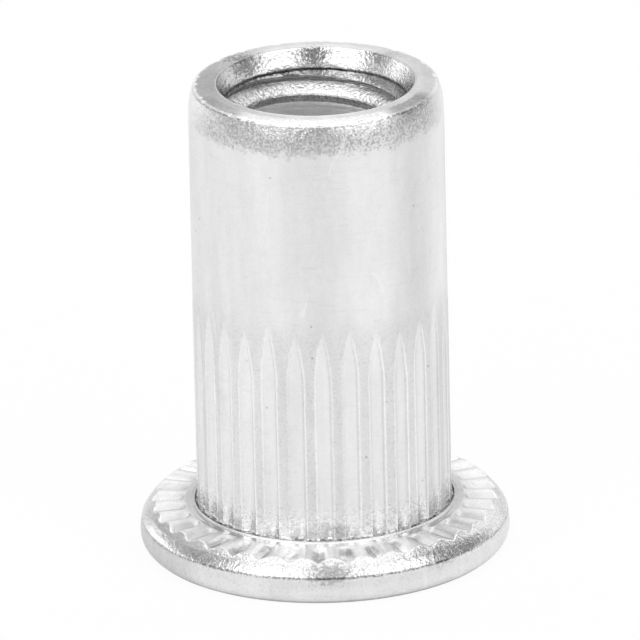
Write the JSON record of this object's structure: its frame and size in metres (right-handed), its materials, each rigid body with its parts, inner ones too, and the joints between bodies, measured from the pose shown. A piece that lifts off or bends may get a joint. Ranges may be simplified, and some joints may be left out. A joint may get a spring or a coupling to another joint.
{
  "type": "rivet nut",
  "caption": "Open-end rivet nut with a flat serrated head, a body with shallow pressed ribs ending in lancet points, a threaded far end and a wider grip bore.",
  "frame": {"origin": "centre of the head's outer face, which the nut stands on", "axes": "+Z along the nut's axis, from the head towards the open threaded end; X and Y are any two directions across it"},
  "size_m": [0.016, 0.016, 0.0211],
  "materials": {
    "bare_metal": "satin"
  },
  "bodies": {
    "root": {"rivet_nut": "bare_metal"}
  },
  "joints": []
}
